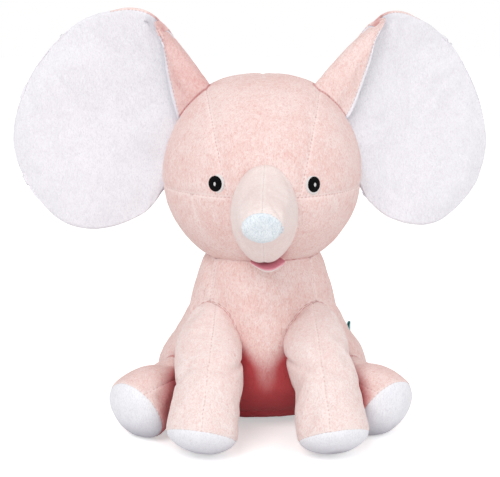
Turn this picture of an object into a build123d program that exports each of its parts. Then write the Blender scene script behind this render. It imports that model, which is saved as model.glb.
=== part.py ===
"""Seated plush elephant with big sewn-on ears, a forward-pointing trunk and four stuffed legs.

Units are millimetres. +Z is up, the elephant faces -Y and its own left side is +X.
The origin is the middle of the flat resting patch under its seat.
Every sewn cloth panel, pad, filling and trim is its own closed solid in its own node.
Cloth parts that bend at a seam are parted there by a ball-shaped gap, which leaves room for the motion.
"""

from build123d import *
from math import asin, cos, radians, sin, sqrt
import os

# ---- driving dimensions -------------------------------------------------------------
CLOTH = 2.0  # plush cloth with its pile
FILL_GAP = 0.3  # between a cloth shell and the filling in it
SEAM_GAP = 0.3  # between two neighbouring cloth panels
JOINT_GAP = 1.0  # running clearance of every ball-shaped joint
HUGE = 600.0

HEAD_R = 85.0
HEAD_Z = 216.0
HEAD = Vector(0, 0, HEAD_Z)
NOD_ROOM = 10.0  # space under the head that lets it nod
CHEEK_SEAM_Z = 207.0
EAR_SEAM_Y = 4.0  # the ears are caught in this seam across the head
GUSSET_HALF = 29.0  # half width of the forehead panel at the trunk
GUSSET_FLARE = 0.2235  # how fast that half width grows upwards

NECK = Vector(0, 0, 140)
NECK_BALL_R = 30.0
NECK_BAND = (31.2, 33.2, 12.0)  # inner radius, outer radius, half height

EAR_PLIES = (2.0, 3.0, 2.0)  # white front cloth, wadding, pink back cloth
EAR_CUP_R = 380.0
EAR_CENTRE = (138.0, 258.0)
EAR_FRONT_Y = 7.0
EAR_ROOM = 7.5  # from the head's cloth to the ear's root
EAR_FOLD_GAP = 2.0
EAR_SWEEP = {"left": 24.0, "right": 8.0}
EAR_POSE = {"left": (10.0, 0.96), "right": (0.0, 1.0)}  # turned in its own plane, top outwards; relative size
EAR_HINGE_LOW = (84.0, 202.7)
EAR_HINGE_HIGH = (45.8, 287.6)
EAR_OUTLINE = [
    (80, 208), (101, 181), (147, 164), (199, 192), (217, 254), (185, 321), (129, 354), (88, 345),
]
EAR_TOP_OF_FOLD = (84, 340)
EAR_FOLD_ROOT_BACK = (46, 290)
EAR_FOLD_ROOT_FRONT = (70, 258)

# trunk sections from the face to the tip: y, half width, half height, centre height, tilt of the section
TRUNK_ROOT = [(-40, 26.5, 39.5, 195.5, 0), (-70, 27, 40, 195.5, 0), (-96, 24.5, 32, 197.5, 0)]
TRUNK_REACH = [(-112, 21.5, 25, 199.5, 0), (-136, 18, 19.5, 200, 10), (-160, 15.2, 14.6, 199.5, 27)]
TIP_PAD_DEPTH = 5.0
TRUNK_PIVOT = Vector(0, -104, 199)
TRUNK_BALL_R = 20.0

LIP = Vector(0, -67, 152)
LIP_HALF = (17.0, 17.0, 7.5)

# torso sections: z, half width, half depth, centre y
TORSO = [
    (0, 34, 28, 12), (6, 58, 48, 11), (14, 74, 61, 10), (36, 92, 75, 8), (55, 88, 72, 5),
    (73, 78, 66, 2), (100, 64, 57, 0), (128, 55, 52, 0), (147, 48, 47, 0),
]
CHEST_SEAM_HALF = 41.0
CHEST_SEAM_FLARE = 0.13
SEAT_SEAM_Z = 16.0
SIDE_SEAM_Y = 11.0
POUCH_R, POUCH_H, POUCH_LIFT = 30.0, 15.0, 3.0
PELLET_R = 2.0

SHOULDER = Vector(43, -46, 90)
SHOULDER_R = 24.0
KNEE_R = 27.0
FRONT_FOOT_R = 29.0
FRONT_FOOT_X = {"left": 56.0, "right": 50.0}
FRONT_FOOT_Y = -120.0
FRONT_SHANK = 50.0  # knee to sole
SOLE_TILT = 32.0  # of the front soles' normal from straight down
SOLE_DOME_R = 48.0

HIP = Vector(66, -20, 40)
HIP_R = 26.0
HIND_FOOT = Vector(103, -76, 27.8)
HIND_FOOT_R = 28.0

STITCH_COUNT, STITCH_PITCH = 9, 4.0
STITCH_LOW = Vector(0, 64.0, 84)
LABEL_AT = Pos(80.6, 14, 75)
TAIL_ROOT = Vector(0, 82, 58)
TAIL_END = Vector(0, 112, 24)
TAIL_R = (8.0, 6.5)
TUFT_R = 11.0


# ---- helpers ------------------------------------------------------------------------
def ball(centre, radius):
    return Pos(*centre) * Sphere(radius)


def side_sign(side):
    return 1 if side == "left" else -1


def mirrored(point, side):
    return Vector(side_sign(side) * point.X, point.Y, point.Z)


def cone_between(a, b, radius_a, radius_b):
    axis = b - a
    plane = Plane(origin=a, z_dir=axis)
    if abs(radius_a - radius_b) < 1e-6:
        body = Cylinder(radius_a, axis.length, align=(Align.CENTER, Align.CENTER, Align.MIN))
    else:
        body = Cone(radius_a, radius_b, axis.length, align=(Align.CENTER, Align.CENTER, Align.MIN))
    return plane * body


def beyond(shape, origin, normal, gap=0.0):
    """The part of shape on the side of the plane that normal points to."""
    plane = Plane(origin=origin, z_dir=normal)
    half = plane * Pos(0, 0, HUGE / 2 + gap) * Box(HUGE, HUGE, HUGE)
    return shape & half


def seam_split(shape, origin, normal):
    """Both sides of a seam plane, with the seam gap between them: (normal's side, other side)."""
    normal = Vector(*normal)
    return (
        beyond(shape, origin, normal, SEAM_GAP / 2),
        beyond(shape, origin, normal * -1, SEAM_GAP / 2),
    )


def section(z, half_x, half_y, centre_y, inset=0.0):
    return Pos(0, centre_y, z) * Ellipse(half_x - inset, half_y - inset)


def keep(name, shape):
    """Writes one node; several separate solids may share it."""
    solids = shape.solids()
    assert solids and all(s.volume > 0.001 for s in solids), name
    export_step(Compound(children=list(solids)) if len(solids) > 1 else solids[0], f"parts/{name}.step")


# ---- head ---------------------------------------------------------------------------
def trunk_plane(y, centre_z, tilt, forward=0.0):
    """A section plane of the trunk that faces forward and, with tilt, down."""
    normal = Vector(0, -cos(radians(tilt)), -sin(radians(tilt)))
    return Plane(origin=Vector(0, y, centre_z) + normal * forward, x_dir=(1, 0, 0), z_dir=normal)


def trunk_section(y, half_x, half_z, centre_z, tilt, inset=0.0):
    return trunk_plane(y, centre_z, tilt) * Ellipse(half_x - inset, half_z - inset)


def trunk_root(inset=0.0):
    return loft([trunk_section(*s, inset=inset) for s in TRUNK_ROOT])


def head_solid(inset=0.0):
    head = ball(HEAD, HEAD_R - inset)
    head -= ball(NECK, NECK_BAND[1] + JOINT_GAP)
    return head


def lip_solid(inset=0.0):
    x, y, z = (h - inset for h in LIP_HALF)
    return Pos(*LIP) * scale(Sphere(1), by=(x, y, z))


def make_head():
    shell = head_solid() - ball(HEAD, HEAD_R - CLOTH)
    shell -= trunk_root(CLOTH + FILL_GAP)
    shell -= lip_solid(-JOINT_GAP)
    back, front = seam_split(shell, (0, EAR_SEAM_Y, 0), (0, 1, 0))
    upper, lower = seam_split(front, (0, 0, CHEEK_SEAM_Z), (0, 0, 1))
    middle = upper
    for side in ("left", "right"):
        s = side_sign(side)
        outward = (s, 0, -GUSSET_FLARE)
        face, middle = seam_split(middle, (s * GUSSET_HALF, 0, CHEEK_SEAM_Z), outward)
        keep(f"face_{side}_panel", face)
        keep(f"cheek_{side}_panel", beyond(lower, (0, 0, 0), (s, 0, 0), SEAM_GAP / 2))
        keep(f"head_back_{side}_panel", beyond(back, (0, 0, 0), (s, 0, 0), SEAM_GAP / 2))
    keep("forehead_panel", middle)

    fill = ball(HEAD, HEAD_R - CLOTH - FILL_GAP) - ball(NECK, NECK_BAND[1] + JOINT_GAP)
    fill -= trunk_root(CLOTH)
    fill -= lip_solid(-JOINT_GAP)
    keep("head_fill", fill)


def make_eyes():
    """Satin-stitched ovals on the face panels, each with a small white glint."""
    for side in ("left", "right"):
        out = Vector(side_sign(side) * 40.7, -74.6, 3.0).normalized()
        plane = Plane(origin=HEAD + out * (HEAD_R - 2), x_dir=(out.Y * -1, out.X, 0), z_dir=out)
        rim = ball(HEAD, HEAD_R + 0.1)
        pad = extrude(plane * Ellipse(6.0, 7.2), 4.0) - rim
        pad &= ball(HEAD, HEAD_R + 1.3)
        glint = extrude(plane * Ellipse(1.6, 2.2), 4.0) & ball(HEAD, HEAD_R + 1.7)
        glint -= ball(HEAD, HEAD_R + 0.7)
        keep(f"eye_{side}", pad - extrude(plane * Ellipse(1.7, 2.3), 4.0))
        keep(f"eye_{side}_glint", glint)


# ---- trunk and mouth ----------------------------------------------------------------
def trunk_tube(inset=0.0):
    """The part of the trunk that bends."""
    return loft([trunk_section(*s, inset=inset) for s in TRUNK_REACH])


def trunk_dome(inset=0.0):
    """The domed end of the trunk."""
    y, half_x, half_z, centre_z, tilt = TRUNK_REACH[-1]
    plane = trunk_plane(y, centre_z, tilt)
    dome = scale(Sphere(1), by=(half_x - inset, half_z - inset, TIP_PAD_DEPTH - inset))
    return beyond(plane * dome, plane.origin, plane.z_dir)


def make_trunk():
    outside_head = ball(HEAD, HEAD_R + SEAM_GAP)
    seat = ball(TRUNK_PIVOT, TRUNK_BALL_R + JOINT_GAP)
    root = trunk_root() - trunk_root(CLOTH) - outside_head - seat - lip_solid(-JOINT_GAP)
    root_left, root_right = seam_split(root, (0, 0, 0), (1, 0, 0))
    keep("trunk_root_left_panel", root_left)
    keep("trunk_root_right_panel", root_right)
    root_fill = trunk_root(CLOTH + FILL_GAP) - ball(HEAD, HEAD_R - CLOTH) - seat
    keep("trunk_root_fill", root_fill - lip_solid(-JOINT_GAP))

    tube = trunk_tube() - trunk_tube(CLOTH) - ball(TRUNK_PIVOT, TRUNK_BALL_R + FILL_GAP)
    tube_left, tube_right = seam_split(tube, (0, 0, 0), (1, 0, 0))
    keep("trunk_left_panel", tube_left)
    keep("trunk_right_panel", tube_right)
    y, half_x, half_z, centre_z, tilt = TRUNK_REACH[-1]
    edge = trunk_plane(y, centre_z, tilt, SEAM_GAP)
    keep("trunk_tip_pad", beyond(trunk_dome() - trunk_dome(CLOTH), edge.origin, edge.z_dir))
    end = trunk_section(y, half_x, half_z, centre_z, tilt, CLOTH + FILL_GAP + 1.7)
    filled = trunk_tube(CLOTH + FILL_GAP) + extrude(end, 1.2)
    keep("trunk_fill", filled + ball(TRUNK_PIVOT, TRUNK_BALL_R))


def make_lip():
    """The lower lip: a pink shell open at the top, a mouth lining on it, and its filling."""
    top_z = LIP.Z + 1.5
    whole = lip_solid()
    body = beyond(whole, (0, 0, top_z), (0, 0, -1))
    shell = body - lip_solid(CLOTH)
    fill = beyond(lip_solid(CLOTH + FILL_GAP), (0, 0, top_z), (0, 0, -1))
    lining = beyond(whole, (0, 0, top_z + SEAM_GAP), (0, 0, 1))
    lining = beyond(lining, (0, 0, top_z + SEAM_GAP + CLOTH), (0, 0, -1))
    keep("lower_lip_panel", shell)
    keep("lower_lip_fill", fill)
    keep("mouth_lining", lining)


# ---- ears ---------------------------------------------------------------------------
def posed(points, side):
    """Ear-plane points turned about the ear's centre and scaled."""
    turn, size = EAR_POSE[side]
    c, s = size * cos(radians(turn)), size * sin(radians(turn))
    x0, z0 = EAR_CENTRE
    return [(x0 + (x - x0) * c + (z - z0) * s, z0 - (x - x0) * s + (z - z0) * c) for x, z in points]


def ear_prism(points, closing):
    """A thick slab in the XZ plane: a smooth curve through points, closed by straight lines."""
    corners = [(x, 0, z) for x, z in points]
    tail = [(x, 0, z) for x, z in closing]
    edges = [Spline(*corners)] + Polyline(corners[-1], *tail, corners[0]).edges()
    return extrude(make_face(edges), HUGE / 8, dir=(0, 1, 0), both=True)


def straight_prism(points):
    corners = [(x, 0, z) for x, z in points]
    return extrude(make_face(Polyline(*corners, close=True)), HUGE / 8, dir=(0, 1, 0), both=True)


def cup_layer(front, back):
    """The space between two concentric spheres that cup the ear, measured back from its front."""
    centre = Vector(EAR_CENTRE[0], EAR_FRONT_Y - EAR_CUP_R, EAR_CENTRE[1])
    return ball(centre, EAR_CUP_R + back) - ball(centre, EAR_CUP_R + front)


def fold_strip(side, start, width):
    """The band beside the ear's folded edge, from start to start + width in from the fold."""
    low, high = Vector(*EAR_FOLD_ROOT_BACK), Vector(*EAR_TOP_OF_FOLD)
    along = (high - low).normalized()
    inward = Vector(along.Y, -along.X)
    a = low - along * 20 + inward * start
    b = high + inward * start
    return straight_prism(posed([(p.X, p.Y) for p in (a, b, b + inward * width, a + inward * width)], side))


def make_ears():
    """Each ear is white cloth, wadding and pink cloth, folded forward along its upper inner edge."""
    buried = (34, 274.2)  # the fold's line carried on under the head's cloth
    flap_points = [buried, EAR_TOP_OF_FOLD, (84, 322), (80, 300), (76, 280), EAR_FOLD_ROOT_FRONT, (50, 262)]
    white, wadding, pink = EAR_PLIES
    total = white + wadding + pink
    bend = -(2 * total + EAR_FOLD_GAP)
    layers = {
        "front_panel": (0.0, white, pink + wadding, white),
        "wadding": (white, white + wadding, pink, wadding),
        "back_panel": (white + wadding, total, 0.0, pink),
    }
    for side in ("left", "right"):
        s = side_sign(side)
        outline = ear_prism(posed(EAR_OUTLINE, side), posed([EAR_TOP_OF_FOLD, buried, (60, 216)], side))
        flap = straight_prism(posed(flap_points, side))
        low = Vector(EAR_HINGE_LOW[0], EAR_SEAM_Y, EAR_HINGE_LOW[1])
        high = Vector(EAR_HINGE_HIGH[0], EAR_SEAM_Y, EAR_HINGE_HIGH[1])
        hinge = Axis(low, high - low)
        for name, (front, back, strip_start, strip_width) in layers.items():
            near, far = -EAR_FOLD_GAP - back, -EAR_FOLD_GAP - front
            sheet = cup_layer(front + 0.05, back - 0.05) & outline
            sheet -= fold_strip(side, -20, 20 + strip_start)
            turned = cup_layer(near + 0.05, far - 0.05) & flap
            turned -= fold_strip(side, -20, 20 + strip_start)
            strip = cup_layer(near + 0.05, back - 0.05) & fold_strip(side, strip_start, strip_width - 0.1)
            piece = sheet + turned + strip
            piece = piece.rotate(hinge, EAR_SWEEP[side])
            piece -= ball(HEAD, HEAD_R + EAR_ROOM)
            if s < 0:
                piece = mirror(piece, about=Plane.YZ)
            biggest = max(piece.solids(), key=lambda solid: solid.volume)
            keep(f"ear_{side}_{name}", biggest)


# ---- neck ---------------------------------------------------------------------------
def make_neck():
    keep("neck_fill", ball(NECK, NECK_BALL_R))
    inner, outer, half_height = NECK_BAND
    band = ball(NECK, outer) - ball(NECK, inner)
    keep("neck_seam_band", band & Pos(*NECK) * Box(HUGE, HUGE, 2 * half_height))


# ---- legs ---------------------------------------------------------------------------
def limb(start, end, radius_start, radius_end, inset=0.0):
    """A round-ended cone from start to end, closed by a shallow dome that stands on end's circle."""
    length = (end - start).length
    dome_z = length - sqrt(SOLE_DOME_R**2 - radius_end**2)
    r0, r1, dome_r = radius_start - inset, radius_end - inset, SOLE_DOME_R - inset
    corner_z = dome_z + sqrt(dome_r**2 - r1**2)
    half_angle = 0.5 * asin(r1 / dome_r)
    on_dome = (dome_r * sin(half_angle), dome_z + dome_r * cos(half_angle))
    profile = [
        ThreePointArc((0, -r0), (r0 * sqrt(0.5), -r0 * sqrt(0.5)), (r0, 0)),
        Line((r0, 0), (r1, corner_z)),
        ThreePointArc((r1, corner_z), on_dome, (0, dome_z + dome_r)),
        Line((0, dome_z + dome_r), (0, -r0)),
    ]
    solid = Rotation(90, 0, 0) * revolve(make_face(profile), Axis.Y)
    return Plane(origin=start, z_dir=end - start) * solid


def front_leg_joints(side):
    """Shoulder, knee and sole centres; the sole's dome touches z = 0."""
    shoulder = mirrored(SHOULDER, side)
    foot_x = side_sign(side) * FRONT_FOOT_X[side]
    tilt = radians(SOLE_TILT)
    shank = Vector((foot_x - shoulder.X) / 2, -FRONT_SHANK * sin(tilt), -FRONT_SHANK * cos(tilt))
    dome_depth = sqrt(SOLE_DOME_R**2 - FRONT_FOOT_R**2)
    foot = Vector(foot_x, FRONT_FOOT_Y, SOLE_DOME_R + dome_depth * shank.normalized().Z)
    return shoulder, foot - shank, foot


def front_leg(side, inset=0.0):
    shoulder, knee, foot = front_leg_joints(side)
    upper = limb(shoulder, knee, SHOULDER_R, KNEE_R - 1, inset)
    return upper + limb(knee, foot, KNEE_R, FRONT_FOOT_R, inset)


def hind_leg_joints(side):
    return mirrored(HIP, side), mirrored(HIND_FOOT, side)


def hind_leg(side, inset=0.0):
    hip, foot = hind_leg_joints(side)
    return limb(hip, foot, HIP_R, HIND_FOOT_R, inset)


def make_leg(name, solid, start, foot, seam_normal):
    """Two leg panels, the white sole pad and the filling."""
    shell = solid(0.0) - solid(CLOTH)
    sole, tube = seam_split(shell, foot, foot - start)
    outer, inner = seam_split(tube, foot, seam_normal)
    keep(f"{name}_outer_panel", outer)
    keep(f"{name}_inner_panel", inner)
    keep(f"{name}_sole_pad", sole)
    keep(f"{name}_fill", solid(CLOTH + FILL_GAP))


def make_legs():
    for side in ("left", "right"):
        s = side_sign(side)
        shoulder, knee, foot = front_leg_joints(side)
        across = (knee - shoulder).cross(foot - knee)
        across = across if across.X * s > 0 else across * -1
        make_leg(f"front_leg_{side}", lambda i: front_leg(side, i), knee, foot, across)
        hip, foot = hind_leg_joints(side)
        across = Vector(s, s * (hip - foot).X / (foot - hip).Y, 0)
        make_leg(f"hind_leg_{side}", lambda i: hind_leg(side, i), hip, foot, across)


# ---- torso --------------------------------------------------------------------------
def tail_solid(inset=0.0):
    tail = ball(TAIL_ROOT, TAIL_R[0] - inset)
    tail += cone_between(TAIL_ROOT, TAIL_END, TAIL_R[0] - inset, TAIL_R[1] - inset)
    return tail


def front_leg_swung(side, inset, lift):
    return front_leg(side, inset).rotate(Axis(mirrored(SHOULDER, side), (-1, 0, 0)), lift)


def hind_leg_swung(side, inset, turn):
    hip = mirrored(HIP, side)
    return hind_leg(side, inset).rotate(Axis(hip, (0, 0, 1)), side_sign(side) * turn)


def torso_solid(inset=0.0):
    """The pear-shaped body, with room for the head, the neck, the legs and the tail."""
    body = loft([section(*s, inset=inset) for s in TORSO])
    body = beyond(body, (0, 0, inset), (0, 0, 1))
    body -= ball(HEAD, HEAD_R + NOD_ROOM + inset)
    body -= ball(NECK, NECK_BAND[1] + JOINT_GAP + inset)
    for side in ("left", "right"):
        for lift in (0, 20, 40, 60):
            body -= front_leg_swung(side, -(JOINT_GAP + inset + 0.002 * lift), lift)
        body -= hind_leg_swung(side, -(JOINT_GAP + inset), 0)
        body -= hind_leg_swung(side, -(JOINT_GAP + inset), 25)
    body -= tail_solid(-(JOINT_GAP + inset))
    return max(body.solids(), key=lambda solid: solid.volume)


def make_torso():
    shell = torso_solid() - torso_solid(CLOTH)
    upper, seat = seam_split(shell, (0, 0, SEAT_SEAM_Z), (0, 0, 1))
    keep("seat_panel", seat)
    belly, rest = seam_split(upper, (0, SIDE_SEAM_Y, 0), (0, -1, 0))
    middle = belly
    for side in ("left", "right"):
        s = side_sign(side)
        outward = (s, 0, CHEST_SEAM_FLARE)
        flank, middle = seam_split(middle, (s * CHEST_SEAM_HALF, 0, 147), outward)
        keep(f"flank_{side}_panel", flank)
    keep("belly_panel", middle)
    back = beyond(rest, (0, 0, 0), (-1, 0, 0), SEAM_GAP / 2)
    keep("body_back_right_panel", back)
    keep("body_back_left_panel", mirror(back, about=Plane.YZ))

    pouch_space = Pos(0, TORSO[0][3], POUCH_LIFT) * Cylinder(
        POUCH_R + FILL_GAP, POUCH_H + FILL_GAP, align=(Align.CENTER, Align.CENTER, Align.MIN)
    )
    keep("body_fill", torso_solid(CLOTH + FILL_GAP) - pouch_space)


def make_bean_pouch():
    """A cloth pouch of plastic pellets that weights the seat."""
    at = Pos(0, TORSO[0][3], POUCH_LIFT)
    align = (Align.CENTER, Align.CENTER, Align.MIN)
    outer = fillet(Cylinder(POUCH_R, POUCH_H, align=align).edges(), 6)
    inner = Pos(0, 0, 1) * fillet(Cylinder(POUCH_R - 1, POUCH_H - 2, align=align).edges(), 5)
    keep("seat_bean_pouch", at * (outer - inner))
    pitch = 2 * PELLET_R + 0.2
    reach = POUCH_R - 1 - 5
    pellets = []
    for row in range(-6, 7):
        for column in range(-7, 8):
            x = (column + 0.5 * (row % 2)) * pitch
            y = row * pitch * sqrt(3) / 2
            if sqrt(x * x + y * y) + PELLET_R < reach:
                pellets.append(Pos(x, y, 1.2 + PELLET_R) * Sphere(PELLET_R))
    keep("bean_pellets", at * Compound(children=pellets))


def make_trims():
    """The hand stitches that close the back, and a blank folded label in the left side seam."""
    stitches = []
    for i in range(STITCH_COUNT):
        rise = STITCH_PITCH * i
        y = STITCH_LOW.Y - 0.42 * rise + 0.0023 * rise**2
        stitches.append(Pos(0, y, STITCH_LOW.Z + rise) * Rotation(0, 90, 0) * Cylinder(0.5, 4.2))
    keep("closing_stitches", Compound(children=stitches))
    tape, loop = 0.6, 16.0
    label = Pos(loop / 2, 0, 0) * Box(loop, 3, 12)
    label -= Pos(loop / 2 - tape, 0, 0) * Box(loop, 3 - 2 * tape, 12)
    keep("care_label", LABEL_AT * Rotation(0, 0, 68) * label)


def make_tail():
    tuft = ball(TAIL_END, TUFT_R)
    keep("tail_cover", tail_solid() - tail_solid(CLOTH) - tuft)
    keep("tail_fill", tail_solid(CLOTH + FILL_GAP) - ball(TAIL_END, TUFT_R + FILL_GAP))
    keep("tail_tuft", tuft)


os.makedirs("parts", exist_ok=True)
make_head()
make_eyes()
make_trunk()
make_lip()
make_ears()
make_neck()
make_legs()
make_torso()
make_bean_pouch()
make_trims()
make_tail()
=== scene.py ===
import bmesh
import bpy
import math
import numpy as np
from contextlib import contextmanager
from mathutils import Matrix, Vector, kdtree, noise
from mathutils.bvhtree import BVHTree


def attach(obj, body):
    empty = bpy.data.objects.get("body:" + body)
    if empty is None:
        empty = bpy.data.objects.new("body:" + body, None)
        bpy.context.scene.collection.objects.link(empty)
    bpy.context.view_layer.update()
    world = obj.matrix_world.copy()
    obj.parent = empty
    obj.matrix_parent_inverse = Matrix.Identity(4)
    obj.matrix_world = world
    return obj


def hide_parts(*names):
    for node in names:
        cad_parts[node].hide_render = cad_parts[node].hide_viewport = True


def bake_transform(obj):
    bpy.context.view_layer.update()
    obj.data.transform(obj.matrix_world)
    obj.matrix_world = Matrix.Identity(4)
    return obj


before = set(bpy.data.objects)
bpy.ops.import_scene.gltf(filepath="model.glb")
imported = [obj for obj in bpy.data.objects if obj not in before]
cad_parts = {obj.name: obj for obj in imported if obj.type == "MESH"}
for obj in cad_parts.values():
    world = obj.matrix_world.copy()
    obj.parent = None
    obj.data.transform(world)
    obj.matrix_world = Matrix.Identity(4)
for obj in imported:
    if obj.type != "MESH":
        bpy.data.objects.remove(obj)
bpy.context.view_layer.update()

# ---- sizes, in millimetres; meshes are scaled to metres when they are made
MM = 0.001
GRAIN = 3.3  # edge length of the meshes that are simulated
CLOTH = 1.2  # shown thickness of a cloth panel
FILL_DEPTH = 3.2  # how far the shown fillings lie under the cloth
FILL_DETAIL = 0.12  # share of the cover's faces that a filling keeps
REST_Z, PRESSED_Z = 2.5, 0.4  # the floor presses cloth below REST_Z flat, never under PRESSED_Z
FAR = 99.0  # the distance given where no seam is near
SNAP = 0.9  # a cut moves corners nearer than this onto itself
STITCH_PITCH, PUCKER_PITCH = 3.4, 6.2  # along a seam
HEAD = np.array([0, 0, 216.0])
HEAD_R = 85.0
NECK_Z = 147.0
EAR_SEAM_Y = 4.0
CHEEK_Z = 207.0
GUSSET_HALF, GUSSET_FLARE = 29.0, 0.2235
SIDES = {"left": 1, "right": -1}
GOLDEN_TURN = 2.39996  # radians; steps of this turn spread evenly round a circle


# ---- small tools
def circle(count):
    """Evenly spaced angles round a full turn."""
    return np.linspace(0, 2 * np.pi, count, endpoint=False)


def cos_sin(degrees):
    return math.cos(math.radians(degrees)), math.sin(math.radians(degrees))


def bell(x, width):
    """1 where x is 0, falling smoothly to nothing a few widths away."""
    return np.exp(-((x / width) ** 2))


def smooth_rows(rows, steps):
    """Catmull-Rom interpolation of a list of number rows, with steps points between each pair."""
    p = np.array(rows, float)
    p = np.vstack([2 * p[0] - p[1], p, 2 * p[-1] - p[-2]])
    out = []
    for i in range(1, len(p) - 2):
        a, b, c, d = p[i - 1 : i + 3]
        for t in np.linspace(0, 1, steps, endpoint=False):
            curve = 2 * b + (c - a) * t + (2 * a - 5 * b + 4 * c - d) * t**2
            out.append(0.5 * (curve + (3 * b - a - 3 * c + d) * t**3))
    out.append(p[-2])
    return np.array(out)


def line_length(points):
    """How far along a line of points each of them lies."""
    return np.concatenate([[0], np.cumsum(np.linalg.norm(np.diff(points, axis=0), axis=1))])


def rows_at(at, length, rows):
    return np.stack([np.interp(at, length, column) for column in rows.T], axis=1)


def even_rows(rows, pitch, columns=None):
    """Rows resampled to an even distance along some of their columns (by default all of them)."""
    fine = smooth_rows(rows, 24)
    length = line_length(fine if columns is None else fine[:, columns])
    count = max(2, int(round(length[-1] / pitch)))
    return rows_at(np.linspace(0, length[-1], count + 1), length, fine)


def closed_curve(points, count):
    """Evenly spaced points on a smooth closed curve."""
    p = np.array(points, float)
    steps = 16
    fine = smooth_rows(np.vstack([p[-1], p, p[0], p[1]]), steps)
    fine = fine[steps : steps * (len(p) + 1) + 1]
    length = line_length(fine)
    return rows_at(np.linspace(0, length[-1], count, endpoint=False), length, fine)


def ring_mesh(rings, close_start=True, close_end=True):
    """Points and faces of a tube through equal rings; a middle point closes each end that is asked for."""
    n = len(rings[0])
    points = np.vstack(rings)
    faces = []
    for i in range(len(rings) - 1):
        for j in range(n):
            k = (j + 1) % n
            faces.append((i * n + j, i * n + k, (i + 1) * n + k, (i + 1) * n + j))
    if close_start:
        points = np.vstack([points, rings[0].mean(0)])
        faces += [(len(points) - 1, (j + 1) % n, j) for j in range(n)]
    if close_end:
        points = np.vstack([points, rings[-1].mean(0)])
        base = (len(rings) - 1) * n
        faces += [(len(points) - 1, base + j, base + (j + 1) % n) for j in range(n)]
    return points, faces


def joined_meshes(parts):
    """Points and faces of several meshes taken as one."""
    points, faces = [], []
    for part_points, part_faces in parts:
        faces += [tuple(v + len(points) for v in face) for face in part_faces]
        points += list(part_points)
    return points, faces


def link(name, data):
    obj = bpy.data.objects.new(name, data)
    bpy.context.scene.collection.objects.link(obj)
    return obj


def raw_object(name, points, faces):
    mesh = bpy.data.meshes.new(name)
    mesh.from_pydata((np.asarray(points) * MM).tolist(), [], faces)
    return link(name, mesh)


@contextmanager
def editing(obj):
    """The object's mesh opened for edits, and written back at the end."""
    bm = bmesh.new()
    bm.from_mesh(obj.data)
    yield bm
    bm.to_mesh(obj.data)
    bm.free()


def make_object(name, points, faces):
    obj = raw_object(name, points, faces)
    with editing(obj) as bm:
        bmesh.ops.recalc_face_normals(bm, faces=bm.faces)
    return obj


def cut(bm, faces, origin, normal):
    """Adds exact edges where a plane crosses the given faces."""
    edges = {e for f in faces for e in f.edges}
    verts = {v for f in faces for v in f.verts}
    bmesh.ops.bisect_plane(
        bm, geom=list(verts) + list(edges) + faces, dist=SNAP * MM,
        plane_co=Vector(origin) * MM, plane_no=Vector(normal).normalized(), use_snap_center=True,
    )


def everywhere(p):
    return True


def seam_cuts(obj, cuts):
    """Adds exact edges where each cut plane crosses the faces its test accepts."""
    with editing(obj) as bm:
        for origin, normal, test in cuts:
            cut(bm, [f for f in bm.faces if test(f.calc_center_median() / MM)], origin, normal)


def side_cuts(half, z, flare, test):
    """A slanted cut on each side of the middle: half away from it at height z, leaning by flare."""
    for s in SIDES.values():
        yield (s * half, 0, z), (s, 0, flare), lambda p, s=s: s * p[0] > 0 and test(p)


def keep_faces(obj, test):
    with editing(obj) as bm:
        gone = [f for f in bm.faces if not test(f.calc_center_median() / MM)]
        bmesh.ops.delete(bm, geom=gone, context="FACES")


def label_faces(obj, labels):
    """Gives every face its panel number, from a list or from a rule for the face's middle."""
    mesh = obj.data
    if callable(labels):
        labels = [labels(f.center / MM) for f in mesh.polygons]
    attribute = mesh.attributes.get("panel") or mesh.attributes.new("panel", "INT", "FACE")
    attribute.data.foreach_set("value", labels)


def panel_numbers(mesh):
    labels = np.zeros(len(mesh.polygons), int)
    mesh.attributes["panel"].data.foreach_get("value", labels)
    return labels


def coordinates(mesh):
    co = np.zeros(len(mesh.vertices) * 3)
    mesh.vertices.foreach_get("co", co)
    return co.reshape(-1, 3) / MM


def set_coordinates(mesh, co):
    mesh.vertices.foreach_set("co", (co * MM).ravel())
    mesh.update()


def read_attribute(mesh, name, width=1):
    values = np.zeros(len(mesh.vertices) * width, np.float32)
    mesh.attributes[name].data.foreach_get("value" if width == 1 else "vector", values)
    return values.astype(float).reshape(-1, width) if width > 1 else values.astype(float)


def write_attribute(mesh, name, values, kind="FLOAT"):
    attribute = mesh.attributes.get(name) or mesh.attributes.new(name, kind, "POINT")
    key = "value" if kind == "FLOAT" else "vector"
    attribute.data.foreach_set(key, np.asarray(values, np.float32).ravel())


def faces_of(obj):
    return [tuple(f.vertices) for f in obj.data.polygons]


def tree_of(obj):
    return BVHTree.FromPolygons([v.co for v in obj.data.vertices], faces_of(obj))


def seam_edges(mesh):
    """Vertex pairs between faces of two different panels, and the vertices on open borders."""
    labels = panel_numbers(mesh)
    first, seams, count = {}, [], {}
    for f in mesh.polygons:
        for key in f.edge_keys:
            count[key] = count.get(key, 0) + 1
            if first.setdefault(key, labels[f.index]) != labels[f.index]:
                seams.append(key)
    border = {v for key, n in count.items() if n == 1 for v in key}
    return seams, border


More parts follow.
